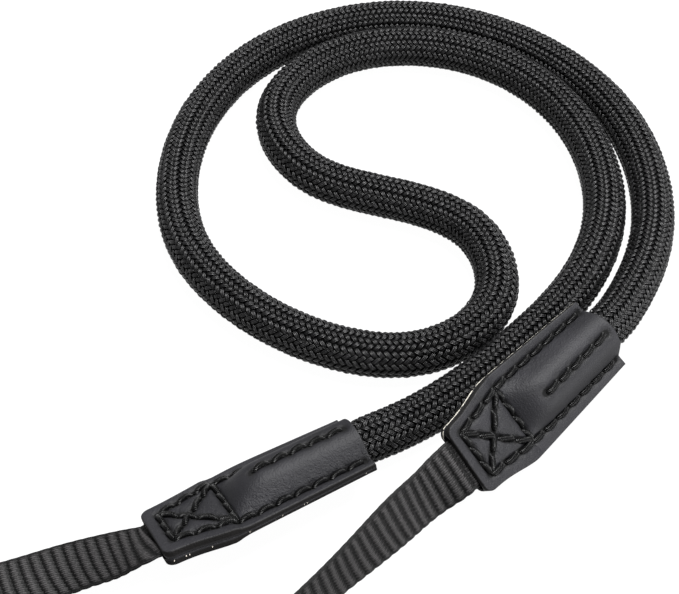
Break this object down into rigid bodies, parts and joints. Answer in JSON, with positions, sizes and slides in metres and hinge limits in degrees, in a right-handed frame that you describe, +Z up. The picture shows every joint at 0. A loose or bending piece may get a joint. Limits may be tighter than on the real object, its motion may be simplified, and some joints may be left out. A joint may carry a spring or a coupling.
{
  "type": "camera neck strap",
  "caption": "Round braided rope neck strap for a camera, lying in a loose coil, with a stitched leather tab round each rope end and a flat webbing end sewn into each tab",
  "frame": {"origin": "Middle of the footprint of the two tabs and their webbing ends, on the surface the strap lies on. The rope, a free cord, is left out of it.", "axes": "+Z is up from the surface. +X runs to the right and +Y away from the viewer as in the picture, so the rope's coil lies towards +Y."},
  "size_m": [0.1536, 0.18, 0.0148],
  "materials": {
    "braided_rope": "black tubular braid, matt with small glints",
    "leather": "charcoal smooth grain leather, soft sheen",
    "webbing": "dark grey ribbed woven webbing, matt"
  },
  "bodies": {
    "root": {"rope": "braided_rope", "left_tab_top": "leather", "left_tab_bottom": "leather", "right_tab_top": "leather", "right_tab_bottom": "leather", "left_webbing": "webbing", "right_webbing": "webbing"}
  },
  "joints": []
}
